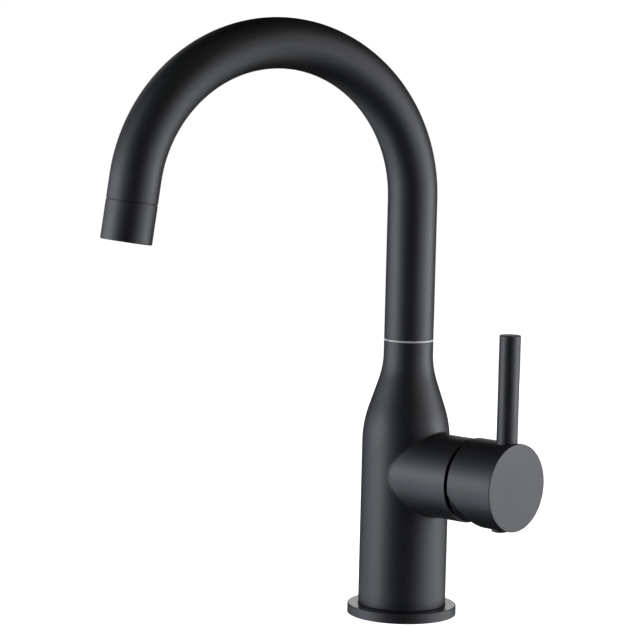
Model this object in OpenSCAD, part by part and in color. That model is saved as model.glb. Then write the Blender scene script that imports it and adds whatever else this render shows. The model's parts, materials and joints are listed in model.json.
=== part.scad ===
// Single-lever bathroom mixer faucet with a side-mounted handle and a high
// swivelling spout. Millimetres. The origin is on the column's axis at the
// underside of the base flange, +Z is up, and the cartridge and handle lie
// along +X.

/* [Column] */
// Radius of the column
body_r = 22.25; // [21.5:0.05:23]
// Height at which the column's side line meets the line of the tapered neck
shoulder_z = 97.8; // [97:0.1:99]
// Slope of the tapered neck, from the vertical, in degrees
neck_slope = 18.56; // [18:0.02:19.5]
// Radius of the rounding at the shoulder
shoulder_round = 57; // [40:1:60]
// Radius of the rounding where the taper runs out into the neck
neck_round = 41; // [30:1:42]
// Height of the top of the neck
neck_top = 139.95; // [139.5:0.05:142]

/* [Base] */
// Radius of the base flange
flange_r = 27.7; // [27:0.1:31]
// Thickness of the base flange
flange_t = 5; // [4:0.1:7]
// Radius of the hollow under the column
hollow_r = 17.5; // [17:0.1:17.8]
// Height of the hollow's ceiling, where the hoses and the stud screw in
hollow_top = 30; // [26:0.5:32]
// Core radius of the two hose threads
hose_thread_r = 4.5; // [4.3:0.05:4.6]
// Core radius of the fixing stud's thread
stud_thread_r = 3.4; // [3.2:0.05:3.5]

/* [Spout] */
// Outer radius of the spout tube
tube_r = 12.5; // [12.3:0.05:12.5]
// Wall of the spout tube
tube_wall = 1.2; // [1.2:0.1:1.4]
// Height at which the straight riser becomes the arch
arch_z = 211.8; // [190:0.1:240]
// Centre-line radius of the arch
arch_r = 76.2; // [60:0.1:90]
// Angle left between the outlet and a full half-turn, in degrees
outlet_lean = 8.15; // [4:0.05:20]
// Length of straight tube after the arch
tube_tail = 11.25; // [11.25:0.05:14]
// Length of the aerator housing
aerator_len = 19.45; // [19.4:0.05:22]
// Direction of the spout around the column, in degrees from +X
spout_turn = -110.05; // [-180:0.05:180]
// Thickness of the glide ring between neck and tube
ring_t = 0.97; // [0.8:0.01:1]
// Width of the slit in the glide ring
ring_slit = 0.7; // [0.4:0.1:1.2]

/* [Side housing] */
// Height of the cartridge's axis
valve_z = 73.85; // [72:0.05:76]
// Outer radius of the side housing
housing_r = 21.05; // [20.8:0.05:21.5]
// Front face of the side housing
housing_x = 43.08; // [43:0.01:43.1]

/* [Handle] */
// Outer radius of the handle cap
cap_r = 21.86; // [21.8:0.01:22.2]
// Rear rim of the handle cap
cap_x0 = 45.56; // [45.5:0.01:46]
// Front face of the handle cap
cap_x1 = 71.97; // [71.5:0.01:74]
// Depth below the axis at which the cut under the cap starts
cut_z = 4.1; // [3.5:0.1:5]
// Slope of the cut under the cap, from the vertical, in degrees
cut_slope = 32.7; // [31:0.1:34]
// Radius of the lever rod
lever_r = 5.24; // [5:0.01:5.3]
// Distance of the lever rod's axis from the column's axis
lever_x = 64.88; // [64:0.01:65.5]
// Height of the lever rod's top
lever_top = 148.7; // [110:0.05:170]
// Distance of the cover plug's axis from the column's axis
plug_x = 62; // [61.8:0.1:64]
// Radius of the cover plug's head
plug_r = 4; // [3.8:0.05:4.2]
// Largest tilt of the handle, in degrees
tilt_max = 24; // [20:1:24]

/* [Hidden] */
$fn = 96;

// colours of the finishes
c_black = [0.07, 0.07, 0.075];
c_brass = [0.78, 0.62, 0.30];
c_white = [0.86, 0.86, 0.84];
c_rubber = [0.10, 0.10, 0.10];
c_steel = [0.72, 0.73, 0.75];
c_ceramic = [0.92, 0.91, 0.88];
c_grey = [0.45, 0.46, 0.48];

// column outline: shoulder rounding, straight taper, neck rounding
body_z0 = 2;
arc_n = 10;
neck_line_top = shoulder_z + (body_r - tube_r) / tan(neck_slope);
sh_t = shoulder_round * tan(neck_slope / 2);
nk_t = neck_round * tan(neck_slope / 2);
column_line = concat(
    [[0, body_z0], [body_r, body_z0]],
    [for (i = [0 : arc_n])
        let (a = neck_slope * i / arc_n)
        [body_r - shoulder_round * (1 - cos(a)),
         shoulder_z - sh_t + shoulder_round * sin(a)]],
    [for (i = [arc_n : -1 : 0])
        let (a = neck_slope * i / arc_n)
        [tube_r + neck_round * (1 - cos(a)),
         neck_line_top + nk_t - neck_round * sin(a)]],
    [[tube_r, neck_top], [0, neck_top]]
);

// spout socket and nipple
socket_r = 10;
socket_z = 112;
nipple_r = 9.93;
nipple_z = 113.5;
tube_z = neck_top + 0.03 + ring_t;
groove_r = 7.6;
ring1_z = 117.4;
ring2_z = 132.9;
slide_z0 = 120.5;
slide_z1 = 124;
catch_z = 127;

// cartridge, from the seat towards the handle
seat_x = 18.5;
base_x0 = 18.6;
base_x1 = 23;
disc_t = 3;
moving_x0 = base_x1 + disc_t + 0.03;
moving_x1 = moving_x0 + 2.8;
carrier_x1 = 33;
rotor_x0 = 33.4;
rotor_x1 = 35;
rotor_top = 43.4;
shell_x1 = 36.6;
shell_top = 41.4;
socket_bore_r = 17.7;
thread_bore_r = 18.6;
cart_r = 17.4;
cavity_r = 14.2;
rotor_r = 10.5;
pivot_x = 40;
stem_ball_x = 32;
stem_half = 4;
stem_end = 67.5;
dome_r = 21;
dome_clear = 0.4;
dome_x0 = 44.9;
dome_web = 46.3;
plug_neck = 3.4;
screw_r = 2;
joint_gap = 0.3;
// opening of the dome and slot of the rotor, both wide enough for the full tilt
dome_open = dome_r * sin(tilt_max + 19.7);
slot_half = (rotor_top - pivot_x) * tan(tilt_max) + stem_half / cos(tilt_max) + 0.3;

// ports, as [down, y] in the plane of the seat
in_ports = [[-5, 9], [-5, -9]];
out_port = [8, 0];
disc_in = [[-4.2, 5], [-4.2, -5]];
disc_out = [4, 0];
pins_at = [[8, 12], [8, -12]];

// frames
module on_valve(x) { translate([x, 0, valve_z]) rotate([0, 90, 0]) children(); }
module at_outlet(s) {
    rotate([0, 0, spout_turn])
    translate([arch_r * (1 + cos(outlet_lean)) + s * sin(outlet_lean), 0,
               arch_z + arch_r * sin(outlet_lean) - s * cos(outlet_lean)])
    rotate([0, 180 - outlet_lean, 0]) children();
}

module ring(r1, r0, h) {
    difference() {
        cylinder(r = r1, h = h);
        translate([0, 0, -1]) cylinder(r = r0, h = h + 2);
    }
}
module o_ring(major, minor) { rotate_extrude() translate([major, 0]) circle(r = minor, $fn = 48); }
// disc with small chamfers on both rims
module disc(r, h, c0, c1) {
    rotate_extrude()
    polygon([[0, 0], [r - c0, 0], [r, c0], [r, h - c1], [r - c1, h], [0, h]]);
}

// ---------- column and base ----------

module body_casting() {
    color(c_black)
    difference() {
        union() {
            rotate_extrude() polygon(column_line);
            translate([0, 0, 0.6]) cylinder(r = 18.9, h = 2);
            on_valve(0) cylinder(r = housing_r, h = housing_x);
        }
        // hollow for the hoses
        translate([0, 0, -1]) cylinder(r = hollow_r, h = hollow_top + 1);
        // hose threads and supply passages up to the seat
        for (s = [-1, 1]) {
            translate([2, 9 * s, hollow_top - 1]) cylinder(r = hose_thread_r, h = 15);
            translate([2, 9 * s, hollow_top + 5]) cylinder(r = 3.75, h = valve_z + 5 + 3.4 - hollow_top - 5);
            translate([2, 9 * s, valve_z + 5]) rotate([0, 90, 0]) cylinder(r = 3.4, h = seat_x);
        }
        // fixing stud thread
        translate([-11, 0, hollow_top - 1]) cylinder(r = stud_thread_r, h = 13);
        // mixed water: from the seat, up the back and into the spout socket
        translate([-8, 0, valve_z - 8]) rotate([0, 90, 0]) cylinder(r = 3.5, h = seat_x + 9);
        translate([-8, 0, valve_z - 11.4]) cylinder(r = 5, h = 29.4);
        translate([0, 0, 87]) cylinder(r = 7, h = 26);
        translate([0, 0, socket_z]) cylinder(r = socket_r, h = 40);
        // cartridge socket, and its threaded mouth
        on_valve(seat_x) cylinder(r = socket_bore_r, h = 40);
        on_valve(35) cylinder(r = thread_bore_r, h = 20);
        // holes for the cartridge's locating pins
        for (p = pins_at) on_valve(seat_x - 2.6) translate(p) cylinder(r = 1.9, h = 4);
        // hole for the spout's retaining screw, at the back of the neck
        translate([0, 8, catch_z]) rotate([-90, 0, 0]) cylinder(r = 2.02, h = 12);
    }
}

module base_flange() {
    color(c_black)
    difference() {
        disc(flange_r, flange_t, 0.2, 0.4);
        translate([0, 0, -1]) cylinder(r = 19, h = 10);
        translate([0, 0, body_z0]) cylinder(r = body_r + 0.08, h = 10);
        translate([0, 0, -1]) ring(26.2, 23.2, 2.5);
    }
}

module base_gasket() { color(c_rubber) ring(26.15, 23.25, 1.48); }

module spout_retaining_screw() {
    color(c_steel)
    translate([0, 0, catch_z]) rotate([-90, 0, 0])
    difference() {
        union() {
            translate([0, 0, 8.7]) cylinder(r = 1.25, h = 1.6);
            translate([0, 0, 10.15]) cylinder(r = 2, h = 2.3);
        }
        translate([0, 0, 11.2]) cylinder(r = 1.15, h = 3, $fn = 6);
    }
}

// ---------- spout ----------

module glide_ring() {
    color(c_white)
    difference() {
        translate([0, 0, neck_top + 0.03]) ring(tube_r, 10.15, ring_t);
        rotate([0, 0, spout_turn + 3]) translate([8, -ring_slit / 2, neck_top - 1]) cube([8, ring_slit, 4]);
    }
}

module lower_glide_ring() {
    color(c_white)
    difference() {
        translate([0, 0, slide_z0 + 0.1]) ring(9.93, 8.98, slide_z1 - slide_z0 - 0.2);
        rotate([0, 0, spout_turn + 180]) translate([6, -0.5, slide_z0 - 1]) cube([6, 1, 6]);
    }
}

module spout_tube() {
    color(c_black) {
        rotate([0, 0, spout_turn]) {
            translate([0, 0, tube_z]) ring(tube_r, tube_r - tube_wall, arch_z - tube_z);
            translate([arch_r, 0, arch_z]) rotate([90, 0, 0])
            rotate_extrude(angle = outlet_lean - 180, start = 180) translate([arch_r, 0])
            difference() {
                circle(r = tube_r);
                circle(r = tube_r - tube_wall);
            }
        }
        // straight tail, drawn in by a hundredth where it leaves the bend
        at_outlet(-0.5) ring(tube_r - 0.01, tube_r - tube_wall + 0.01, tube_tail + 0.5);
    }
}

module spout_nipple() {
    color(c_brass)
    difference() {
        union() {
            translate([0, 0, nipple_z]) disc(nipple_r, tube_z - nipple_z + 1, 0.6, 0);
            translate([0, 0, tube_z]) disc(tube_r - tube_wall - 0.05, 15, 0, 0.8);
        }
        translate([0, 0, 100]) cylinder(r = 6, h = 80);
        for (z = [ring1_z, ring2_z]) translate([0, 0, z - 1.4]) ring(12, groove_r, 2.8);
        translate([0, 0, slide_z0]) ring(12, 8.9, slide_z1 - slide_z0);
        translate([0, 0, catch_z - 1.7]) ring(12, 8.4, 3.4);
    }
}

module spout_o_ring_upper() { color(c_rubber) translate([0, 0, ring2_z]) o_ring(8.78, 1.15); }
module spout_o_ring_lower() { color(c_rubber) translate([0, 0, ring1_z]) o_ring(8.78, 1.15); }

// ---------- outlet ----------

module outlet_adapter() {
    color(c_brass)
    at_outlet(1)
    difference() {
        union() {
            disc(tube_r - tube_wall - 0.05, tube_tail - 1, 0.6, 0);
            translate([0, 0, tube_tail - 2]) disc(10.6, 8.7, 0, 0.5);
        }
        translate([0, 0, -1]) cylinder(r = 8.3, h = 40);
    }
}

module aerator_housing() {
    color(c_black)
    at_outlet(tube_tail + 0.05)
    difference() {
        union() {
            cylinder(r = tube_r - 1, h = 2);
            translate([0, 0, joint_gap - 0.05]) disc(tube_r, aerator_len - joint_gap + 0.05, 0.15, 0.5);
        }
        translate([0, 0, -1]) cylinder(r = 10.7, h = 10.3);
        translate([0, 0, 8]) cylinder(r = 10.2, h = aerator_len - 8 - 1.3);
        translate([0, 0, 10]) cylinder(r = 9.3, h = 30);
    }
}

module aerator_gasket() { color(c_rubber) at_outlet(tube_tail + 7.85) ring(10.6, 7.6, 1.4); }

module flow_regulator() {
    color(c_grey)
    at_outlet(tube_tail + 9.4)
    difference() {
        union() {
            cylinder(r = 10.1, h = 1.2);
            cylinder(r = 8.8, h = 2.9);
        }
        translate([0, 0, 1.4]) ring(7.6, 3.2, 3);
        for (i = [0 : 11]) rotate(i * 30) translate([5.4, 0, -1]) cylinder(r = 0.8, h = 6);
    }
}

module aerator_screens() {
    color(c_steel)
    for (k = [0, 1])
    at_outlet(tube_tail + 12.5 + k * 0.8)
    difference() {
        cylinder(r = 10.1, h = 0.4);
        for (i = [-3 : 3], j = [-3 : 3])
            if (i * i + j * j < 10.5) translate([i * 2.4 - 0.9, j * 2.4 - 0.9, -1]) cube([1.8, 1.8, 3]);
    }
}

module aerator_insert() {
    color(c_grey)
    at_outlet(tube_tail + 13.9)
    difference() {
        union() {
            cylinder(r = 10.1, h = 4.2);
            cylinder(r = 9.2, h = 5);
        }
        for (i = [-3 : 3], j = [-3 : 3]) {
            x = 2.7 * (i + j / 2);
            y = 2.7 * j * sin(60);
            if (x * x + y * y < 63) translate([x, y, -1]) rotate(30) cylinder(r = 1.32, h = 8, $fn = 6);
        }
    }
}

// ---------- cartridge ----------

module cartridge_base() {
    color(c_white)
    on_valve(base_x0)
    difference() {
        union() {
            disc(cart_r, base_x1 - base_x0, 0.4, 0);
            for (p = pins_at) translate([p[0], p[1], -2.2]) cylinder(r = 1.75, h = 4);
            for (s = [-1, 1]) translate([0, 12.9 * s, 2]) cylinder(r = 1.15, h = 4.9);
        }
        for (p = in_ports) translate([p[0], p[1], -3]) cylinder(r = 3.3, h = 6);
        translate([out_port[0], out_port[1], -3]) cylinder(r = 3.5, h = 6);
        for (p = disc_in) translate([p[0], p[1], 2]) cylinder(r = 2.2, h = 6);
        translate([disc_out[0], disc_out[1], 2]) cylinder(r = 2.5, h = 6);
        for (p = concat(in_ports, [out_port])) translate([p[0], p[1], -1]) ring(5.3, 3.95, 2.2);
        for (p = concat(disc_in, [disc_out])) translate([p[0], p[1], base_x1 - base_x0 - 0.9]) ring(4.2, 2.9, 2);
    }
}

module port_seals() {
    color(c_rubber)
    for (p = concat(in_ports, [out_port])) on_valve(seat_x) translate(p) ring(5.25, 4, 1.25);
}

module disc_seals() {
    color(c_rubber)
    for (p = concat(disc_in, [disc_out])) on_valve(base_x1 - 0.85) translate(p) ring(4.15, 2.95, 0.85);
}

module fixed_disc() {
    color(c_ceramic)
    on_valve(base_x1)
    difference() {
        disc(13.9, disc_t, 0.2, 0.2);
        for (p = disc_in) translate([p[0], p[1], -1]) cylinder(r = 2.2, h = 6);
        translate([disc_out[0], disc_out[1], -1]) cylinder(r = 2.5, h = 6);
        for (s = [-1, 1]) translate([0, 12.9 * s, -1]) cylinder(r = 1.3, h = 6);
    }
}

module moving_disc() {
    color(c_ceramic)
    on_valve(moving_x0)
    difference() {
        disc(10.5, moving_x1 - moving_x0, 0.2, 0.2);
        translate([3, 0, -1]) cylinder(r = 5.2, h = 2.5);
    }
}

module disc_carrier() {
    color(c_grey)
    on_valve(moving_x1)
    difference() {
        intersection() {
            disc(10.5, carrier_x1 - moving_x1, 0, 0.3);
            translate([-20, -9.4, -1]) cube([40, 18.8, 20]);
        }
        translate([0, 0, 0.5]) cylinder(r = 2.95, h = 10);
    }
}

module cartridge_shell() {
    color(c_white)
    difference() {
        union() {
            on_valve(base_x1) cylinder(r = cart_r, h = shell_x1 - base_x1);
            on_valve(shell_x1 - 0.5) cylinder(r = 12.8, h = shell_top - shell_x1 + 0.5);
        }
        on_valve(base_x1 - 1) cylinder(r = cavity_r, h = rotor_x1 + 0.1 - base_x1 + 1);
        on_valve(base_x1 - 1) cylinder(r = rotor_r + 0.06, h = 30);
    }
}

module cartridge_rotor() {
    color(c_grey)
    difference() {
        union() {
            on_valve(rotor_x0) cylinder(r = 13.9, h = rotor_x1 - rotor_x0);
            on_valve(rotor_x1 - 0.5) disc(rotor_r, rotor_top - rotor_x1 + 0.5, 0, 0.4);
            // two fingers that turn the disc carrier
            intersection() {
                on_valve(29.3) cylinder(r = 13.9, h = rotor_x0 - 29);
                union() for (s = [-1, 1])
                    on_valve(29.3) translate([-6, s > 0 ? 9.7 : -14.7, 0]) cube([12, 5, rotor_x0 - 29]);
            }
        }
        // slot in which the stem tilts
        on_valve(rotor_x0 - 2) translate([-slot_half, -4.06, 0]) cube([2 * slot_half, 8.12, 20]);
        // bore of the pivot pin
        translate([pivot_x, -20, valve_z]) rotate([-90, 0, 0]) cylinder(r = 1.52, h = 40);
        // groove of the seal
        on_valve(36.7) ring(12, 9.25, 1.7);
    }
}

module rotor_seal() { color(c_rubber) on_valve(37.55) o_ring(9.88, 0.62); }

module stem_pivot_pin() { color(c_steel) translate([pivot_x, -9.6, valve_z]) rotate([-90, 0, 0]) cylinder(r = 1.5, h = 19.2); }

module cartridge_stem() {
    color(c_brass)
    difference() {
        union() {
            on_valve(stem_ball_x) sphere(r = 2.6);
            on_valve(stem_ball_x) cylinder(r = 2.2, h = 5);
            on_valve(36.2) translate([-stem_half, -stem_half, 0]) cube([2 * stem_half, 2 * stem_half, stem_end - 36.2]);
        }
        translate([pivot_x, -20, valve_z]) rotate([-90, 0, 0]) cylinder(r = 1.55, h = 40);
    }
}

module retaining_nut() {
    color(c_brass)
    difference() {
        on_valve(shell_x1 + 0.05) disc(thread_bore_r - 0.1, 4.35, 0.4, 0.4);
        on_valve(shell_x1 - 2) cylinder(r = 13.1, h = 20);
        for (a = [0 : 60 : 300]) on_valve(39.2) rotate(a) translate([14.4, -1.6, 0]) cube([6, 3.2, 5]);
    }
}

module trim_dome() {
    color(c_black)
    difference() {
        union() {
            on_valve(41.2) ring(thread_bore_r - 0.1, 17.2, dome_web - 41.2);
            intersection() {
                on_valve(pivot_x) sphere(r = dome_r);
                on_valve(dome_x0) cylinder(r = 30, h = 20);
            }
        }
        difference() {
            on_valve(pivot_x) sphere(r = dome_r - 1.4);
            on_valve(41) ring(22, 17.2, dome_web - 41);
        }
        on_valve(40) cylinder(r = dome_open, h = 30);
        on_valve(40) cylinder(r = 17.2, h = dome_web - 40);
    }
}

// ---------- handle ----------

module handle_cap() {
    inner_r = cap_r - 1.16;
    color(c_black)
    difference() {
        on_valve(cap_x0) disc(cap_r, cap_x1 - cap_x0, 0.15, 0.4);
        // inside of the cap, leaving the post that holds lever and stem
        difference() {
            on_valve(cap_x0 - 1) cylinder(r = inner_r, h = cap_x1 - cap_x0 - 2);
            intersection() {
                translate([lever_x, 0, valve_z - 30]) cylinder(r = 7.8, h = 60);
                on_valve(cap_x0) cylinder(r = inner_r + 0.5, h = 30);
            }
        }
        // round clearance for the dome
        on_valve(pivot_x) sphere(r = dome_r + dome_clear);
        // sloping cut under the cap
        translate([cap_x0, 0, valve_z - cut_z]) rotate([0, cut_slope, 0]) translate([-60, -40, -80]) cube([60, 80, 80]);
        // socket of the stem
        on_valve(55) translate([-stem_half - 0.05, -stem_half - 0.05, 0]) cube([2 * stem_half + 0.1, 2 * stem_half + 0.1, stem_end + 0.1 - 55]);
        // seat and thread of the lever rod
        translate([lever_x, 0, valve_z + 12]) cylinder(r = lever_r + 0.02, h = 30);
        translate([lever_x, 0, valve_z]) cylinder(r = 3.02, h = 20);
        // thread of the set screw, hole and seat of its cover plug
        translate([plug_x, 0, valve_z - 20]) cylinder(r = screw_r + 0.03, h = 20);
        translate([plug_x, 0, valve_z - 30]) cylinder(r = plug_neck + 0.05, h = 15.1);
        translate([plug_x, 0, valve_z - 30]) cylinder(r = plug_r + 0.04, h = 10.55);
    }
}

module lever_rod() {
    color(c_black)
    translate([lever_x, 0, valve_z]) {
        translate([0, 0, 5.4]) cylinder(r = 3, h = 7);
        translate([0, 0, 12]) disc(lever_r, lever_top - valve_z - 12, 0, 0.4);
    }
}

module handle_set_screw() {
    color(c_steel)
    translate([plug_x, 0, valve_z - 14])
    difference() {
        cylinder(r = screw_r, h = 9.95);
        translate([0, 0, -1]) cylinder(r = 1.15, h = 4, $fn = 6);
    }
}

module screw_cover_plug() {
    color(c_black)
    translate([plug_x, 0, valve_z - cap_r - 1.1]) {
        disc(plug_r, 3.45, 0.4, 0);
        cylinder(r = plug_neck, h = 7.9);
    }
}

body_casting();
base_flange();
base_gasket();
spout_retaining_screw();
glide_ring();
lower_glide_ring();
spout_tube();
spout_nipple();
spout_o_ring_upper();
spout_o_ring_lower();
outlet_adapter();
aerator_housing();
aerator_gasket();
flow_regulator();
aerator_screens();
aerator_insert();
cartridge_base();
port_seals();
disc_seals();
fixed_disc();
moving_disc();
disc_carrier();
cartridge_shell();
cartridge_rotor();
rotor_seal();
stem_pivot_pin();
cartridge_stem();
retaining_nut();
trim_dome();
handle_cap();
lever_rod();
handle_set_screw();
screw_cover_plug();
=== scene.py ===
import json
import math

import bpy
import numpy as np
from mathutils import Matrix, Vector


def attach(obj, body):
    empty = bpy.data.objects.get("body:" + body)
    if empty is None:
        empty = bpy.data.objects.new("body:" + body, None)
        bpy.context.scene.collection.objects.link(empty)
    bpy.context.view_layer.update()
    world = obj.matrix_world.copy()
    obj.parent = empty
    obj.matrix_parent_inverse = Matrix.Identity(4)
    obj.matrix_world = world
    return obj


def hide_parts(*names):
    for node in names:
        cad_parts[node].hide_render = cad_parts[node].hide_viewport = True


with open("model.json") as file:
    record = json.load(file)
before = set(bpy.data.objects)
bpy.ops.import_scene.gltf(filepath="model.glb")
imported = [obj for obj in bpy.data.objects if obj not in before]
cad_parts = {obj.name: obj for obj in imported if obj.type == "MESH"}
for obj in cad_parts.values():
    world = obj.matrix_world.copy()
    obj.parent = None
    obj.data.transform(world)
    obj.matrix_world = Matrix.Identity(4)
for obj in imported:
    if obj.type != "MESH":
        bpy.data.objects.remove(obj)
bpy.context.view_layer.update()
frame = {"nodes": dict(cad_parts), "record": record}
MM = 0.001
sin, cos, tan, pi = math.sin, math.cos, math.tan, math.pi
rad = math.radians

# ------------------------------------------------------------------ sizes, mm
BODY_R = 22.25
SHOULDER_Z, NECK_SLOPE, SHOULDER_ROUND, NECK_ROUND = 97.8, rad(18.56), 57.0, 41.0
NECK_TOP = 139.95
FLANGE_R, FLANGE_T = 27.7, 5.0
HOLLOW_R, HOLLOW_TOP = 17.5, 30.0
TUBE_R, TUBE_WALL = 12.5, 1.2
ARCH_Z, ARCH_R, LEAN, TAIL, AER_LEN = 211.8, 76.2, rad(8.15), 11.25, 19.45
TURN = rad(-110.05)
RING_T, SLIT = 0.97, 0.7
VALVE_Z, HOUSING_R, HOUSING_X = 73.85, 21.05, 43.08
CAP_R, CAP_X0, CAP_X1, CUT_Z, CUT = 21.86, 45.56, 71.97, 4.1, rad(32.7)
LEVER_R, LEVER_X, LEVER_TOP = 5.24, 64.88, 148.7
PLUG_X, PLUG_R = 62.0, 4.0
PIVOT_X, DOME_R = 40.0, 21.0
TUBE_Z = NECK_TOP + 0.03 + RING_T

# ------------------------------------------------------------------ mesh tools


def new_object(name, verts, faces, mat, sharp=35.0):
    me = bpy.data.meshes.new(name)
    me.from_pydata([tuple(float(c) * MM for c in v) for v in verts], [], faces)
    me.validate()
    o = bpy.data.objects.new(name, me)
    bpy.context.scene.collection.objects.link(o)
    clean(o)
    finish_shading(o, sharp)
    if mat is not None:
        me.materials.append(mat)
    return o


def clean(o, dist=1e-7):
    import bmesh
    bm = bmesh.new()
    bm.from_mesh(o.data)
    bmesh.ops.remove_doubles(bm, verts=bm.verts, dist=dist)
    bmesh.ops.dissolve_degenerate(bm, dist=1e-8, edges=bm.edges)
    bmesh.ops.recalc_face_normals(bm, faces=bm.faces)
    bm.to_mesh(o.data)
    bm.free()


def finish_shading(o, sharp):
    o.data.polygons.foreach_set("use_smooth", [True] * len(o.data.polygons))
    o.data.set_sharp_from_angle(angle=rad(sharp))
    o.data.update()


def arc_corner(p0, p1, p2, r, n=5, support=0.0):
    """Points of the round of radius r at corner p1, with an extra point either side."""
    p0, p1, p2 = map(np.asarray, (p0, p1, p2))
    a, b = p0 - p1, p2 - p1
    la, lb = np.linalg.norm(a), np.linalg.norm(b)
    a, b = a / la, b / lb
    ang = math.acos(max(-1, min(1, float(a @ b))))
    if r <= 0 or ang > pi - 0.02:
        return [tuple(p1)]
    t = min(r / tan(ang / 2), la * 0.49, lb * 0.49)
    r = t * tan(ang / 2)
    c = p1 + (a + b) / np.linalg.norm(a + b) * r / sin(ang / 2)
    s, e = p1 + a * t - c, p1 + b * t - c
    w = math.acos(max(-1, min(1, float(s @ e) / r / r)))
    pts = [tuple(c + (sin((1 - k / n) * w) * s + sin(k / n * w) * e) / sin(w)) for k in range(n + 1)]
    if support:
        pts = [tuple(p1 + a * min(t + support, la * 0.499))] + pts + [tuple(p1 + b * min(t + support, lb * 0.499))]
    return pts


def rounded(points, closed=True, n=5, support=0.25):
    """points: (u, v, r) corners. Gives the outline with its corners rounded."""
    out, m = [], len(points)
    for i, (u, v, r) in enumerate(points):
        if r <= 0 or (not closed and i in (0, m - 1)):
            out.append((u, v))
            continue
        p0, p2 = points[(i - 1) % m], points[(i + 1) % m]
        out += arc_corner(p0[:2], (u, v), p2[:2], r, n, support)
    return out


def frame_z(p, d=(0, 0, 1), x=None):
    """Matrix whose +Z is d and whose origin is p (mm)."""
    z = Vector(d).normalized()
    x = Vector(x if x else ((1, 0, 0) if abs(z.x) < 0.9 else (0, 1, 0)))
    y = z.cross(x).normalized()
    x = y.cross(z).normalized()
    m = Matrix((x, y, z)).transposed().to_4x4()
    m.translation = Vector(p)
    return m


def lathe_mesh(profile, n=192, closed=True, at=None):
    """profile: (r, z) points. Turned about z."""
    verts, rows = [], []
    for r, z in profile:
        if r < 1e-6:
            rows.append([len(verts)] * n)
            verts.append((0, 0, z))
        else:
            rows.append(list(range(len(verts), len(verts) + n)))
            verts += [(r * cos(2 * pi * k / n), r * sin(2 * pi * k / n), z) for k in range(n)]
    faces, m = [], len(rows)
    for i in range(m if closed else m - 1):
        a, b = rows[i], rows[(i + 1) % m]
        for k in range(n):
            q = [a[k], a[(k + 1) % n], b[(k + 1) % n], b[k]]
            q = [x for j, x in enumerate(q) if x != q[j - 1]]
            if len(q) > 2:
                faces.append(q)
    if at is not None:
        verts = [tuple(at @ Vector(v)) for v in verts]
    return verts, faces


def lathe(name, profile, mat, n=192, closed=True, at=None, sharp=35.0):
    v, f = lathe_mesh(profile, n, closed, at)
    return new_object(name, v, f, mat, sharp)


def cut(o, verts, faces, op="DIFFERENCE"):
    """Exact cut or join of a solid given as verts (mm) and faces."""
    tool = new_object("tool", verts, faces, None)
    m = o.modifiers.new("cut", "BOOLEAN")
    m.operation, m.object, m.solver = op, tool, "MANIFOLD"
    dg = bpy.context.evaluated_depsgraph_get()
    me = bpy.data.meshes.new_from_object(o.evaluated_get(dg))
    if len(me.polygons) == 0:
        m.solver = "EXACT"
        dg = bpy.context.evaluated_depsgraph_get()
        me = bpy.data.meshes.new_from_object(o.evaluated_get(dg))
    o.modifiers.clear()
    old, o.data = o.data, me
    bpy.data.meshes.remove(old)
    bpy.data.objects.remove(tool, do_unlink=True)


def cyl(r, z0, z1, at=None, n=128, c0=0.0, c1=0.0):
    p = [(0, z0), (r - c0, z0)] + ([(r, z0 + c0)] if c0 else []) + ([(r, z1 - c1)] if c1 else []) + [(r - c1, z1), (0, z1)]
    return lathe_mesh(p, n, closed=False, at=at)


def along_x(x=0.0):
    """Frame of the cartridge axis: local z is +X, local x points down."""
    return Matrix(((0, 0, 1, x), (0, 1, 0, 0), (-1, 0, 0, VALVE_Z), (0, 0, 0, 1)))


def at_outlet(s):
    u = Vector((cos(TURN), sin(TURN), 0))
    t = u * sin(LEAN) - Vector((0, 0, cos(LEAN)))
    p = u * ARCH_R * (1 + cos(LEAN)) + Vector((0, 0, ARCH_Z + ARCH_R * sin(LEAN))) + t * s
    return frame_z(p, t, x=tuple(u))


# ------------------------------------------------------------------ materials


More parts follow.
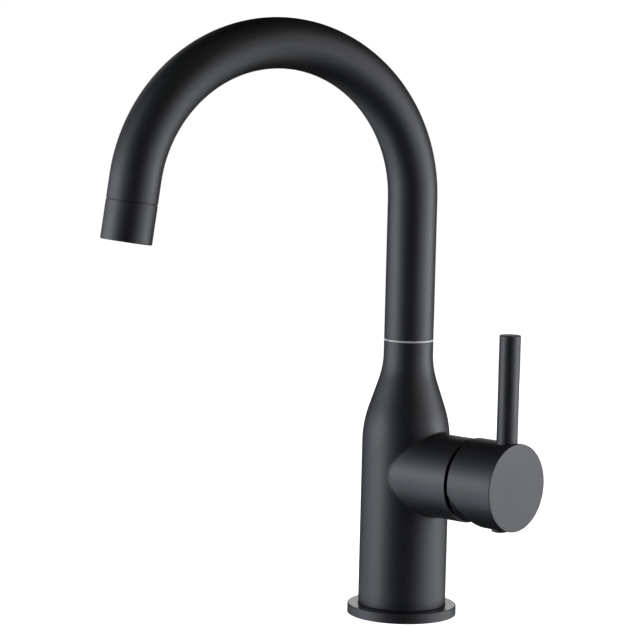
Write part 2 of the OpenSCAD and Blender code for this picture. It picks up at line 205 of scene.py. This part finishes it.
class Nodes:
    """Small helper to lay out a node tree."""

    def __init__(self, name):
        self.mat = bpy.data.materials.new(name)
        self.mat.use_nodes = True
        self.t = self.mat.node_tree
        self.p = self.t.nodes["Principled BSDF"]
        self.co = self.t.nodes.new("ShaderNodeTexCoord").outputs["Object"]

    def add(self, kind, **kw):
        n = self.t.nodes.new(kind)
        for k, v in kw.items():
            setattr(n, k, v)
        return n

    def link(self, a, b):
        self.t.links.new(a, b)

    def mapped(self, scale=(1, 1, 1), rot=(0, 0, 0)):
        m = self.add("ShaderNodeMapping")
        m.inputs["Scale"].default_value = scale
        m.inputs["Rotation"].default_value = rot
        self.link(self.co, m.inputs["Vector"])
        return m.outputs["Vector"]

    def noise(self, scale, detail=3.0, rough=0.55, vec=None, distortion=0.0):
        n = self.add("ShaderNodeTexNoise")
        n.inputs["Scale"].default_value = scale
        n.inputs["Detail"].default_value = detail
        n.inputs["Roughness"].default_value = rough
        n.inputs["Distortion"].default_value = distortion
        self.link(vec or self.co, n.inputs["Vector"])
        return n.outputs["Fac"]

    def ramp(self, fac, stops):
        r = self.add("ShaderNodeValToRGB")
        e = r.color_ramp.elements
        while len(e) < len(stops):
            e.new(0.5)
        for s, (pos, col) in zip(e, stops):
            s.position = pos
            s.color = (*col, 1) if len(col) == 3 else col
        self.link(fac, r.inputs["Fac"])
        return r.outputs["Color"]

    def span(self, fac, lo, hi, a=0.0, b=1.0):
        m = self.add("ShaderNodeMapRange")
        m.inputs["From Min"].default_value, m.inputs["From Max"].default_value = a, b
        m.inputs["To Min"].default_value, m.inputs["To Max"].default_value = lo, hi
        self.link(fac, m.inputs["Value"])
        return m.outputs["Result"]

    def mix(self, a, b, f):
        m = self.add("ShaderNodeMath", operation="MULTIPLY_ADD")
        self.link(a, m.inputs[0])
        m.inputs[1].default_value = f
        self.link(b, m.inputs[2])
        return m.outputs[0]

    def bump(self, height, strength, distance):
        b = self.add("ShaderNodeBump")
        b.inputs["Strength"].default_value = strength
        b.inputs["Distance"].default_value = distance
        self.link(height, b.inputs["Height"])
        self.link(b.outputs["Normal"], self.p.inputs["Normal"])

    def set(self, **kw):
        for k, v in kw.items():
            self.p.inputs[k.replace("_", " ")].default_value = v


def black_paint(name="matte_black_paint", r0=0.47, r1=0.55):
    """Fine matte black spray coat: faint mottle, micro grain, a soft sheen."""
    m = Nodes(name)
    broad = m.noise(38.0, 3.0)
    fine = m.noise(2600.0, 2.0, 0.6)
    peel = m.noise(520.0, 2.0, 0.5)
    m.link(m.ramp(broad, [(0.30, (0.0034, 0.0036, 0.0042)), (0.70, (0.0056, 0.0058, 0.0066))]), m.p.inputs["Base Color"])
    m.link(m.span(m.mix(fine, broad, 0.6), r0, r1, 0.3, 1.3), m.p.inputs["Roughness"])
    m.bump(m.mix(fine, peel, 0.55), 0.35, 0.00003)
    m.set(IOR=1.5, Specular_IOR_Level=0.5)
    return m.mat


def turned_brass():
    m = Nodes("turned_brass")
    tone = m.noise(90.0, 4.0)
    lines = m.noise(1.0, 2.0, 0.5, vec=m.mapped((40, 40, 9000)))
    m.link(m.ramp(tone, [(0.3, (0.62, 0.42, 0.17)), (0.7, (0.80, 0.59, 0.27))]), m.p.inputs["Base Color"])
    m.link(m.span(lines, 0.22, 0.38), m.p.inputs["Roughness"])
    m.bump(m.mix(lines, tone, 0.8), 0.3, 0.00003)
    m.set(Metallic=1.0)
    return m.mat


def moulded(name, lo, hi, r0, r1, grain=1500.0, bump=0.25):
    m = Nodes(name)
    tone = m.noise(60.0, 3.0)
    g = m.noise(grain, 3.0, 0.6)
    m.link(m.ramp(tone, [(0.3, lo), (0.7, hi)]), m.p.inputs["Base Color"])
    m.link(m.span(g, r0, r1, 0.3, 0.7), m.p.inputs["Roughness"])
    m.bump(m.mix(g, tone, 0.7), bump, 0.00004)
    return m.mat


def steel():
    m = Nodes("stainless_steel")
    tone = m.noise(120.0, 3.0)
    lines = m.noise(1.0, 3.0, 0.6, vec=m.mapped((6000, 300, 300)))
    m.link(m.ramp(tone, [(0.3, (0.50, 0.51, 0.53)), (0.7, (0.66, 0.67, 0.69))]), m.p.inputs["Base Color"])
    m.link(m.span(lines, 0.20, 0.36), m.p.inputs["Roughness"])
    m.bump(m.mix(lines, tone, 0.7), 0.25, 0.00002)
    m.set(Metallic=1.0)
    return m.mat


BLACK = black_paint()
BLACK_FLAT = black_paint("matte_black_paint_flat_top", 0.27, 0.34)
BRASS = turned_brass()
STEEL = steel()
WHITE = moulded("white_plastic", (0.43, 0.435, 0.44), (0.49, 0.49, 0.485), 0.34, 0.46)
GREY = moulded("grey_plastic", (0.23, 0.24, 0.26), (0.31, 0.32, 0.34), 0.38, 0.52)
RUBBER = moulded("black_rubber", (0.012, 0.012, 0.012), (0.022, 0.022, 0.021), 0.55, 0.72, 900.0, 0.4)
CERAMIC = moulded("lapped_ceramic", (0.80, 0.79, 0.75), (0.88, 0.87, 0.83), 0.10, 0.20, 3000.0, 0.08)
SLOT_MATS = {"matte_black": BLACK, "brass": BRASS, "steel": STEEL, "white_plastic": WHITE,
             "grey_plastic": GREY, "black_rubber": RUBBER, "ceramic": CERAMIC}

for sp in frame["record"]["subparts"]:
    o = frame["nodes"][sp["node"]]
    o.data.materials.clear()
    o.data.materials.append(SLOT_MATS[sp["material_slot"]])

# ------------------------------------------------------------------ casting

Z_SH0 = SHOULDER_Z - SHOULDER_ROUND * tan(NECK_SLOPE / 2)
LINE_TOP = SHOULDER_Z + (BODY_R - TUBE_R) / tan(NECK_SLOPE)
Z_NK1 = LINE_TOP + NECK_ROUND * tan(NECK_SLOPE / 2)
Z_SH1 = Z_SH0 + SHOULDER_ROUND * sin(NECK_SLOPE)
Z_NK0 = Z_NK1 - NECK_ROUND * sin(NECK_SLOPE)


def column_r(z, off=0.0):
    """Radius of the column's outline at height z, or of its offset (up to the taper)."""
    if z <= Z_SH0:
        return BODY_R + off
    if off or z <= Z_SH1:
        R = SHOULDER_ROUND + off
        return BODY_R - SHOULDER_ROUND + math.sqrt(max(R * R - (z - Z_SH0) ** 2, 0))
    if z <= Z_NK0:
        return BODY_R - (z - SHOULDER_Z) * tan(NECK_SLOPE)
    if z < Z_NK1:
        return TUBE_R + NECK_ROUND - math.sqrt(max(NECK_ROUND ** 2 - (Z_NK1 - z) ** 2, 0))
    return TUBE_R


def casting():
    verts, faces = [], []

    def put(p):
        verts.append(p)
        return len(verts) - 1

    m = 96                      # samples on each of the four sides of the patch
    th = rad(88)
    z_hi, z_lo = 103.0, 44.0
    # border of the patch, clockwise from top left, as (theta, z)
    border = []
    for k in range(m):
        border.append((-th + 2 * th * k / m, z_hi))
    for k in range(m):
        border.append((th, z_hi + (z_lo - z_hi) * k / m))
    for k in range(m):
        border.append((th - 2 * th * k / m, z_lo))
    for k in range(m):
        border.append((-th, z_lo + (z_hi - z_lo) * k / m))
    N = 4 * m
    zc = VALVE_Z

    def contact(phi):
        """Ball centre and the two points it touches, for angle phi about the housing.

        The ball grows where the two surfaces meet at a shallow angle, so the blend keeps its width."""
        y0, z0 = HOUSING_R * sin(phi), zc + HOUSING_R * cos(phi)
        x0 = math.sqrt(column_r(z0) ** 2 - y0 * y0)
        n0 = column_normal(x0, y0, z0)
        theta = math.acos(max(-1.0, min(1.0, float(n0 @ np.array([0, sin(phi), cos(phi)])))))
        rho = (1.25 + 0.35 * sin(phi) ** 2) / tan(theta / 2)
        ro = HOUSING_R + rho
        y, z = ro * sin(phi), zc + ro * cos(phi)
        R = column_r(z, rho)
        x = math.sqrt(max(R * R - y * y, 0.01))
        c = np.array([x, y, z])
        h = np.array([x, HOUSING_R * sin(phi), zc + HOUSING_R * cos(phi)])
        return c, h, c - column_normal(x, y, z) * rho, rho

    def column_normal(x, y, z):
        hr = math.hypot(x, y)
        if z <= Z_SH0:
            return np.array([x / hr, y / hr, 0.0])
        dr, dz = hr - (BODY_R - SHOULDER_ROUND), z - Z_SH0
        L = math.hypot(dr, dz)
        return np.array([x / hr * dr / L, y / hr * dr / L, dz / L])

    # angle about the housing for each border point
    def phi_of(k):
        side, f = divmod(k, m)
        return rad(-45 + 90 * side + 90 * f / m)

    phis = [phi_of(k) for k in range(N)]
    rings = []
    # housing: front disc edge, rounded rim, wall
    front = []
    rr = 0.35
    prof = [(HOUSING_X, 16.0), (HOUSING_X, HOUSING_R - rr - 0.25)]
    prof += [(HOUSING_X - rr + rr * cos(a), HOUSING_R - rr + rr * sin(a)) for a in np.linspace(0, pi / 2, 6)]
    prof += [(HOUSING_X - rr - 0.3, HOUSING_R)]
    centre = put((HOUSING_X, 0, zc))
    for x, r in prof:
        rings.append([put((x, r * sin(p), zc + r * cos(p))) for p in phis])
    touch = [contact(p) for p in phis]
    x_last = prof[-1][0]
    steps = 10
    for s in range(1, steps + 1):
        f = s / steps
        rings.append([put((x_last + (t[1][0] - x_last) * f, t[1][1], t[1][2])) for t in touch])
    # fillet
    nf = 7
    for s in range(1, nf + 1):
        f = s / nf
        ring = []
        for c, h, b, rho in touch:
            a0, a1 = (h - c) / rho, (b - c) / rho
            w = math.acos(max(-1.0, min(1.0, float(a0 @ a1))))
            d = (sin((1 - f) * w) * a0 + sin(f * w) * a1) / sin(w)
            ring.append(put(tuple(c + d * rho)))
        rings.append(ring)
    # patch of the column from the fillet's edge out to the border
    inner = [(math.atan2(b[1], b[0]), float(b[2])) for c, h, b, rho in touch]
    M = 26
    for s in range(1, M + 1):
        f = (s / M)
        f = f ** 1.35
        ring = []
        for (t0, z0), (t1, z1) in zip(inner, border):
            t, z = t0 + (t1 - t0) * f, z0 + (z1 - z0) * f
            r = column_r(z)
            ring.append(put((r * cos(t), r * sin(t), z)))
        rings.append(ring)
    for a in [[centre] * N] + rings[:0]:
        pass
    for k in range(N):
        faces.append([centre, rings[0][k], rings[0][(k + 1) % N]])
    for a, b in zip(rings, rings[1:]):
        for k in range(N):
            faces.append([a[k], a[(k + 1) % N], b[(k + 1) % N], b[k]])
    edge = rings[-1]
    top = edge[0:m + 1]                       # theta from -th to th, at z_hi
    right = edge[m:2 * m + 1]                 # z_hi down to z_lo, at +th
    bottom = edge[2 * m:3 * m + 1][::-1]      # -th to th, at z_lo
    left = ([*edge[3 * m:], edge[0]])[::-1]   # z_hi down to z_lo, at -th
    # back of the column, between the two side lines
    nb_ = 100
    cols = [right]
    for j in range(1, nb_):
        t = th + (2 * pi - 2 * th) * j / nb_
        col = []
        for k in range(m + 1):
            z = z_hi + (z_lo - z_hi) * k / m
            r = column_r(z)
            col.append(put((r * cos(t), r * sin(t), z)))
        cols.append(col)
    cols.append(left)
    for a, b in zip(cols, cols[1:]):
        for k in range(m):
            faces.append([a[k], b[k], b[k + 1], a[k + 1]])
    full_top = top[:-1] + [c[0] for c in cols[:-1]]
    full_bot = bottom[:-1] + [c[-1] for c in cols[:-1]]
    thetas = [-th + 2 * th * k / m for k in range(m)] + [th + (2 * pi - 2 * th) * j / nb_ for j in range(nb_)]

    def band(start, prof):
        prev = start
        for r, z in prof:
            cur = [put((r * cos(t), r * sin(t), z)) for t in thetas] if r > 1e-6 else [put((0, 0, z))] * len(thetas)
            for k in range(len(thetas)):
                q = [prev[k], prev[(k + 1) % len(thetas)], cur[(k + 1) % len(thetas)], cur[k]]
                q = [x for i, x in enumerate(q) if x != q[i - 1]]
                if len(q) > 2:
                    faces.append(q)
            prev = cur

    e = 0.22
    up = [(column_r(z), z) for z in np.linspace(z_hi, NECK_TOP - e - 0.2, 60)[1:]]
    up += [(TUBE_R - e + e * cos(a), NECK_TOP - e + e * sin(a)) for a in np.linspace(0, pi / 2, 5)]
    up += [(TUBE_R - e - 0.3, NECK_TOP), (0, NECK_TOP)]
    band(full_top, up)
    down = [(BODY_R, z) for z in np.linspace(z_lo, 2.6, 24)[1:]]
    foot = [(BODY_R - 1.6 + 1.6 * cos(a), FLANGE_T + 0.9 - 1.6 * sin(a)) for a in np.linspace(0, rad(36), 7)]
    down = [q for q in down if q[1] > FLANGE_T + 1.2] + foot + [(foot[-1][0], 2.3), (foot[-1][0] - 0.3, 2.0)]
    down += [(18.9, 2.0), (18.9, 0.9), (18.6, 0.6), (0, 0.6)]
    band(full_bot, down)
    o = new_object("casting_skin", verts, faces, BLACK)

    def bore(*a, **k):
        cut(o, *cyl(*a, **k))

    def thread(r, pitch, z0, z1, at, lead=0.5):
        """Solid with a 60 degree thread on its outside, used to cut a tapped hole."""
        n, per = 64, 8
        rows = int((z1 - z0) / pitch * per)
        d = pitch * 0.54
        vv, ff, idx = [], [], []
        for i in range(rows + 1):
            z = z0 + (z1 - z0) * i / rows
            row = []
            for k in range(n):
                ph = (z / pitch - k / n) % 1.0
                h = 1 - abs(2 * ph - 1)
                h = min(max((h - 0.12) / 0.76, 0), 1) * d
                fade = min(1.0, (z - z0) / lead, (z1 - z) / lead)
                row.append(len(vv))
                rr = r + h * max(fade, 0.0)
                vv.append((rr * cos(2 * pi * k / n), rr * sin(2 * pi * k / n), z))
            idx.append(row)
        for a, b in zip(idx, idx[1:]):
            for k in range(n):
                ff.append([a[k], a[(k + 1) % n], b[(k + 1) % n], b[k]])
        c0, c1 = len(vv), len(vv) + 1
        vv += [(0, 0, z0), (0, 0, z1)]
        for k in range(n):
            ff.append([c0, idx[0][(k + 1) % n], idx[0][k]])
            ff.append([c1, idx[-1][k], idx[-1][(k + 1) % n]])
        cut(o, [tuple(Vector(v) + Vector(at)) for v in vv], ff)

    bore(HOLLOW_R, -5, HOLLOW_TOP, n=192, c1=0.6)
    for s in (-1, 1):
        thread(4.5, 1.0, HOLLOW_TOP - 0.6, HOLLOW_TOP + 14, (2, 9 * s, 0))
        bore(3.75, HOLLOW_TOP + 5, VALVE_Z + 8.4, at=frame_z((2, 9 * s, 0)), n=96)
        bore(3.4, 0, 18.5, at=frame_z((2, 9 * s, VALVE_Z + 5), (1, 0, 0)), n=96)
    thread(3.4, 1.25, HOLLOW_TOP - 0.6, HOLLOW_TOP + 12, (-11, 0, 0))
    bore(3.5, 0, 27.5, at=frame_z((-8, 0, VALVE_Z - 8), (1, 0, 0)), n=96)
    bore(5.0, VALVE_Z - 11.4, VALVE_Z + 18, at=frame_z((-8, 0, 0)), n=96)
    bore(7.0, 87, 113, n=96)
    bore(10.0, 112, 150, n=128)
    bore(17.7, 18.5, 60, at=along_x(), n=160)
    bore(18.6, 35, 60, at=along_x(), n=160)
    for p in ((8, 12), (8, -12)):
        bore(1.9, 15.9, 20, at=along_x() @ Matrix.Translation((*p, 0)), n=48)
    bore(2.02, 8, 20, at=frame_z((0, 0, 127), (0, 1, 0)), n=64)
    clean(o)
    finish_shading(o, 35)
    return o


cast = casting()
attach(cast, "column"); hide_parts("body_casting")

# ------------------------------------------------------------------ base

flange = lathe("base_rosette", rounded([
    (19.0, 0.0, 0.1), (23.2, 0.0, 0.1), (23.2, 1.5, 0), (26.2, 1.5, 0), (26.2, 0.0, 0.1), (FLANGE_R, 0.0, 0.25),
    (FLANGE_R, FLANGE_T, 0.45), (BODY_R + 0.08, FLANGE_T, 0.18), (BODY_R + 0.08, 2.0, 0), (19.0, 2.0, 0.1)]), BLACK, n=256)
# the paint has flowed out smoother on the level top face
flange.data.materials.append(BLACK_FLAT)
for poly in flange.data.polygons:
    if poly.normal.z > 0.95 and poly.center.z > (FLANGE_T - 0.3) * MM:
        poly.material_index = 1
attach(flange, "column"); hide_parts("base_flange")

# ------------------------------------------------------------------ spout


def spout_tube():
    u = np.array([cos(TURN), sin(TURN), 0.0])
    up = np.array([0, 0, 1.0])
    side = np.cross(u, up)
    arch = ARCH_R * (pi - LEAN)
    rise = ARCH_Z - TUBE_Z
    total = rise + arch + TAIL

    def station(s):
        if s <= rise:
            return up * (TUBE_Z + s), u
        if s <= rise + arch:
            a = (s - rise) / ARCH_R
            c = u * ARCH_R + up * ARCH_Z
            out = -u * cos(a) + up * sin(a)
            return c + out * ARCH_R, -out
        a = pi - LEAN
        out = -u * cos(a) + up * sin(a)
        t = u * sin(LEAN) - up * cos(LEAN)
        return u * ARCH_R + up * ARCH_Z + out * ARCH_R + t * (s - rise - arch), -out

    e, ri, ro = 0.25, TUBE_R - TUBE_WALL, TUBE_R - 0.026
    line = [(e * (1 - cos(a)), ro - e + e * sin(a)) for a in np.linspace(0, pi / 2, 5)]
    path = [(0.0, ri + 0.1)] + line + [(e + 0.3, ro)]
    path += [(s, ro) for s in np.linspace(e + 0.3, rise, 14)[1:]]
    path += [(rise + arch * k / 220, ro) for k in range(1, 221)]
    path += [(rise + arch + 3.5, ro), (rise + arch + 7.0, ro), (total - e - 0.3, ro)]
    path += [(total - e + e * sin(a), ro - e + e * cos(a)) for a in np.linspace(0, pi / 2, 5)]
    path += [(total, ri + 0.1), (total - 0.1, ri)]
    path += [(rise + arch, ri)] + [(rise + arch * (1 - k / 110), ri) for k in range(1, 111)]
    path += [(0.1, ri)]
    n = 144
    verts, rows = [], []
    for s, r in path:
        c, x = station(s)
        rows.append(list(range(len(verts), len(verts) + n)))
        for k in range(n):
            a = 2 * pi * k / n
            verts.append(tuple(c + x * r * cos(a) + side * r * sin(a)))
    faces = []
    for i in range(len(rows)):
        a, b = rows[i], rows[(i + 1) % len(rows)]
        for k in range(n):
            faces.append([a[k], a[(k + 1) % n], b[(k + 1) % n], b[k]])
    return new_object("spout_pipe", verts, faces, BLACK)


pipe = spout_tube()
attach(pipe, "spout"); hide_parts("spout_tube")

# split glide ring
def split_ring(name, r1, r0, z0, z1, gap, azimuth, rnd, mat, n=180):
    prof = rounded([(r0, z0, rnd), (r1, z0, rnd), (r1, z1, rnd), (r0, z1, rnd)], n=3, support=0)
    half = gap / 2 / r1
    verts, rows = [], []
    for i in range(n + 1):
        a = azimuth + half + (2 * pi - 2 * half) * i / n
        rows.append(list(range(len(verts), len(verts) + len(prof))))
        verts += [(r * cos(a), r * sin(a), z) for r, z in prof]
    faces, m = [], len(prof)
    for a, b in zip(rows, rows[1:]):
        for k in range(m):
            faces.append([a[k], a[(k + 1) % m], b[(k + 1) % m], b[k]])
    faces += [rows[0][::-1], rows[-1]]
    return new_object(name, verts, faces, mat)


gring = split_ring("glide_ring_upper", TUBE_R, 10.15, NECK_TOP + 0.03, NECK_TOP + 0.03 + RING_T, SLIT, TURN + rad(3), 0.2, WHITE)
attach(gring, "spout"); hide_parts("glide_ring")
lring = split_ring("glide_ring_lower", 9.93, 8.98, 120.6, 123.9, 1.0, TURN + pi, 0.15, WHITE)
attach(lring, "spout"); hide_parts("lower_glide_ring")

aer = lathe("aerator_sleeve", rounded([
    (10.7, 0.0, 0.1), (TUBE_R - 0.45, 0.0, 0), (TUBE_R - 0.45, 0.27, 0), (TUBE_R - 0.004, 0.27, 0.2), (TUBE_R - 0.004, AER_LEN - 0.002, 0.5), (9.3, AER_LEN - 0.002, 0.35), (9.3, AER_LEN - 1.3, 0.1),
    (10.2, AER_LEN - 1.3, 0), (10.2, 9.3, 0), (10.7, 9.3, 0)]), BLACK, n=160, at=at_outlet(TAIL + 0.02))
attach(aer, "spout"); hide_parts("aerator_housing")

# ------------------------------------------------------------------ handle


def handle_cap():
    ri, ro = CAP_R - 1.16, CAP_R
    kink = math.acos(-CUT_Z / ro)
    base = [2 * pi * k / 240 for k in range(240)]
    phis = sorted(set([round(p, 6) for p in base if min(abs(p - kink), abs(p - 2 * pi + kink)) > 0.008] + [round(kink, 6), round(2 * pi - kink, 6)]))

    def x0(r, p):
        z = r * cos(p)
        return CAP_X0 + max(0.0, -CUT_Z - z) * tan(CUT)

    fx = CAP_X1 - 3.0
    e, g = 0.15, 0.4
    verts, rows = [], []
    for p in phis:
        col = [(0.0, fx), (ri - 0.5, fx), (ri, fx - 0.5)]
        top = fx - 1.2
        for f in (0.0, 0.25, 0.5, 0.75):
            col.append((ri, top + (x0(ri, p) + e + 0.2 - top) * f))
        for a in (0, 30, 60, 90):
            col.append((ri + e - e * cos(rad(a)), x0(ri + e, p) + e - e * sin(rad(a))))
        for a in (0, 30, 60, 90):
            col.append((ro - e + e * sin(rad(a)), x0(ro - e, p) + e - e * cos(rad(a))))
        low = x0(ro, p) + e + 0.2
        topo = CAP_X1 - g - 0.25
        for f in (0.0, 0.2, 0.4, 0.6, 0.8, 1.0):
            col.append((ro, low + (topo - low) * f))
        for a in np.linspace(0, 90, 7):
            col.append((ro - g + g * cos(rad(a)), CAP_X1 - g + g * sin(rad(a))))
        col += [(ro - g - 0.3, CAP_X1), (0.0, CAP_X1)]
        rows.append([len(verts) + i for i in range(len(col))])
        verts += [(x, r * sin(p), VALVE_Z + r * cos(p)) for r, x in col]
    faces, m = [], len(rows[0])
    for i in range(len(rows)):
        a, b = rows[i], rows[(i + 1) % len(rows)]
        for k in range(m - 1):
            faces.append([a[k], a[k + 1], b[k + 1], b[k]])
    o = new_object("cap_shell", verts, faces, BLACK)
    # post inside the cap that holds the lever and the stem
    post = cyl(7.8, -20.2, 20.2, at=frame_z((LEVER_X, 0, VALVE_Z)), n=96)
    tool = new_object("post", *post, None)
    cut(tool, *cyl(20.9, 50, CAP_X1 - 2.0, at=along_x(), n=120), op="INTERSECT")
    vv = [tuple(v.co / MM) for v in tool.data.vertices]
    ff = [list(p.vertices) for p in tool.data.polygons]
    bpy.data.objects.remove(tool, do_unlink=True)
    cut(o, vv, ff, op="UNION")
    # room for the dome
    ball = [((DOME_R + 0.4) * sin(a), -(DOME_R + 0.4) * cos(a)) for a in np.linspace(0, pi, 80)]
    ball[0], ball[-1] = (0, ball[0][1]), (0, ball[-1][1])
    cut(o, *lathe_mesh(ball, 120, closed=False, at=along_x(PIVOT_X)))
    q = 4.05
    box = [(55, -q, -q), (55, q, -q), (55, q, q), (55, -q, q), (67.6, -q, -q), (67.6, q, -q), (67.6, q, q), (67.6, -q, q)]
    cut(o, [(x, y, z + VALVE_Z) for x, y, z in box], [[3, 2, 1, 0], [4, 5, 6, 7], [0, 1, 5, 4], [1, 2, 6, 5], [2, 3, 7, 6], [3, 0, 4, 7]])
    up = frame_z((LEVER_X, 0, VALVE_Z))
    cut(o, *cyl(LEVER_R + 0.05, 12, 30, at=up, n=96))
    cut(o, *cyl(3.02, 0, 20, at=up, n=64))
    low = frame_z((PLUG_X, 0, VALVE_Z))
    cut(o, *cyl(2.03, -20, 0, at=low, n=64))
    cut(o, *cyl(3.45, -30, -14.9, at=low, n=64))
    cut(o, *cyl(PLUG_R + 0.05, -30, -19.45, at=low, n=96))
    clean(o)
    finish_shading(o, 32)
    return o


cap = handle_cap()
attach(cap, "handle"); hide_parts("handle_cap")

lever_h = LEVER_TOP - VALVE_Z
lev = lathe("lever_pin", rounded([
    (0, 5.4, 0), (3.0, 5.4, 0.4), (3.0, 12.0, 0), (LEVER_R, 12.0, 0.2), (LEVER_R, lever_h, 0.45), (0, lever_h, 0)], closed=False),
    BLACK, n=128, closed=False, at=frame_z((LEVER_X, 0, VALVE_Z)))
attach(lev, "handle"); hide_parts("lever_rod")

zb = -CAP_R - 1.1
plug = lathe("cover_plug", rounded([
    (0, zb, 0), (PLUG_R, zb, 0.6), (PLUG_R, zb + 3.45, 0.1), (3.4, zb + 3.45, 0), (3.4, zb + 7.9, 0.3), (0, zb + 7.9, 0)], closed=False),
    BLACK, n=128, closed=False, at=frame_z((PLUG_X, 0, VALVE_Z)))
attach(plug, "handle"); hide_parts("screw_cover_plug")


def dome():
    ro, ri, op = DOME_R, DOME_R - 1.4, DOME_R * sin(rad(24 + 19.7))
    xr, xweb, e = 44.9 - PIVOT_X, 46.3 - PIVOT_X, 0.22
    rr = math.sqrt(ro * ro - xr * xr)
    a0, a1 = math.acos((xr + e) / ro), math.asin(op / ro)
    outer = [(ro * sin(a), ro * cos(a)) for a in np.linspace(a0, a1 + 0.008, 40)]
    bweb, b1 = math.acos(xweb / ri), math.asin(op / ri)
    inner = [(ri * sin(a), ri * cos(a)) for a in np.linspace(b1 + 0.008, bweb, 30)]
    r0 = outer[0][0]
    rim = [(r0 - e + e * sin(a), xr + e - e * cos(a)) for a in np.linspace(0, pi / 2, 5)][:-1]
    prof = [(18.5, xr), (18.8, xr), (rr - e - 0.3, xr)] + rim + outer + inner
    prof += [(17.2, xweb), (17.2, 41.2 - PIVOT_X), (18.5, 41.2 - PIVOT_X)]
    return lathe("dome_ring", prof, BLACK, n=192, at=along_x(PIVOT_X))


dm = dome()
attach(dm, "column"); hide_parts("trim_dome")

# ------------------------------------------------------------------ stage


def stage():
    """Plain pale floor. It reads as white as the backdrop, casts nothing back on the part and is clear from below."""
    fm = bpy.data.materials.new("studio_floor")
    fm.use_nodes = True
    t = fm.node_tree
    p = t.nodes["Principled BSDF"]
    p.inputs["Base Color"].default_value = (0.86, 0.86, 0.865, 1)
    p.inputs["Roughness"].default_value = 0.9
    p.inputs["Specular IOR Level"].default_value = 0.0
    p.inputs["Emission Color"].default_value = (1, 1, 1, 1)
    p.inputs["Emission Strength"].default_value = 1.01
    out = t.nodes["Material Output"]
    clear = t.nodes.new("ShaderNodeBsdfTransparent")
    geo = t.nodes.new("ShaderNodeNewGeometry")
    mix = t.nodes.new("ShaderNodeMixShader")
    t.links.new(geo.outputs["Backfacing"], mix.inputs["Fac"])
    t.links.new(p.outputs["BSDF"], mix.inputs[1])
    t.links.new(clear.outputs["BSDF"], mix.inputs[2])
    t.links.new(mix.outputs["Shader"], out.inputs["Surface"])
    me = bpy.data.meshes.new("floor")
    s = 6.0
    me.from_pydata([(-s, -s, 0), (s, -s, 0), (s, s, 0), (-s, s, 0)], [], [(0, 1, 2, 3)])
    f = bpy.data.objects.new("floor", me)
    me.materials.append(fm)
    bpy.context.scene.collection.objects.link(f)
    f.location.z = -0.0002
    f.visible_diffuse = f.visible_glossy = f.visible_shadow = False


stage()

cam_yaw, cam_pitch, cam_roll = rad(42.286), rad(6.119), rad(1.360)
cam = bpy.data.objects.new("camera", bpy.data.cameras.new("camera"))
bpy.context.scene.collection.objects.link(cam)
cam.data.sensor_width = 36.0
cam.data.lens = 144.05
cam.data.clip_start, cam.data.clip_end = 0.05, 30
back = Vector((sin(cam_yaw) * cos(cam_pitch), -cos(cam_yaw) * cos(cam_pitch), sin(cam_pitch)))
right = (-back).cross(Vector((0, 0, 1))).normalized()
up_ = right.cross(-back)
r2 = right * cos(cam_roll) + up_ * sin(cam_roll)
u2 = -right * sin(cam_roll) + up_ * cos(cam_roll)
mw = Matrix((r2, u2, back)).transposed().to_4x4()
mw.translation = Vector((0.83230, -0.98215, 0.28722))
cam.matrix_world = mw
bpy.context.scene.camera = cam


# soft boxes round the object: degrees round from the front, degrees up, watts, colour
SOFTBOXES = [
    (-140, -32, 0.28, (1.20, 0.98, 0.82)),
    (-140, 30, 0.41, (1.01, 1.03, 0.96)),
    (-118, -32, 0.88, (0.81, 1.03, 1.16)),
    (-118, 0, 0.59, (0.90, 0.96, 1.14)),
    (-96, 0, 2.01, (0.96, 0.97, 1.07)),
    (-75, -32, 2.45, (0.92, 0.99, 1.09)),
    (-75, 0, 4.40, (0.95, 1.00, 1.05)),
    (-75, 30, 0.98, (0.90, 0.97, 1.13)),
    (-52, 0, 0.94, (0.91, 0.93, 1.16)),
    (0, 62, 0.16, (1.05, 1.20, 0.80)),
    (52, 0, 1.66, (0.92, 0.96, 1.12)),
    (52, 30, 0.63, (1.05, 1.05, 0.90)),
    (75, -32, 2.17, (0.98, 1.01, 1.01)),
    (75, 0, 1.93, (0.97, 0.99, 1.03)),
    (75, 30, 1.04, (0.96, 0.95, 1.09)),
    (96, 0, 4.74, (0.97, 0.99, 1.04)),
    (96, 30, 0.98, (0.99, 1.02, 0.99)),
    (118, -32, 1.91, (0.95, 1.02, 1.03)),
    (180, 6, 0.85, (0.99, 1.00, 1.01)),
]
front = Vector((back.x, back.y, 0)).normalized()
aim = Vector((0, -0.03, 0.14))
for az, el, watts, colour in SOFTBOXES:
    d = (right * sin(rad(az)) + front * cos(rad(az))) * cos(rad(el)) + Vector((0, 0, sin(rad(el))))
    box = bpy.data.lights.new("softbox", "AREA")
    box.shape, box.size, box.size_y, box.energy, box.color = "RECTANGLE", 0.42, 0.42, watts, colour
    o = bpy.data.objects.new("softbox", box)
    bpy.context.scene.collection.objects.link(o)
    o.location = aim + d * 0.95
    o.rotation_mode = "QUATERNION"
    o.rotation_quaternion = d.to_track_quat("Z", "Y")

w = bpy.data.worlds.new("studio")
bpy.context.scene.world = w
w.use_nodes = True
wt = w.node_tree
bg = wt.nodes["Background"]
bg.inputs["Color"].default_value = (1, 1, 1, 1)
lp = wt.nodes.new("ShaderNodeLightPath")
mr = wt.nodes.new("ShaderNodeMapRange")
mr.inputs["To Min"].default_value = 0.0
mr.inputs["To Max"].default_value = 1.01
wt.links.new(lp.outputs["Is Camera Ray"], mr.inputs["Value"])
wt.links.new(mr.outputs["Result"], bg.inputs["Strength"])
bpy.context.scene.view_settings.view_transform = "Standard"
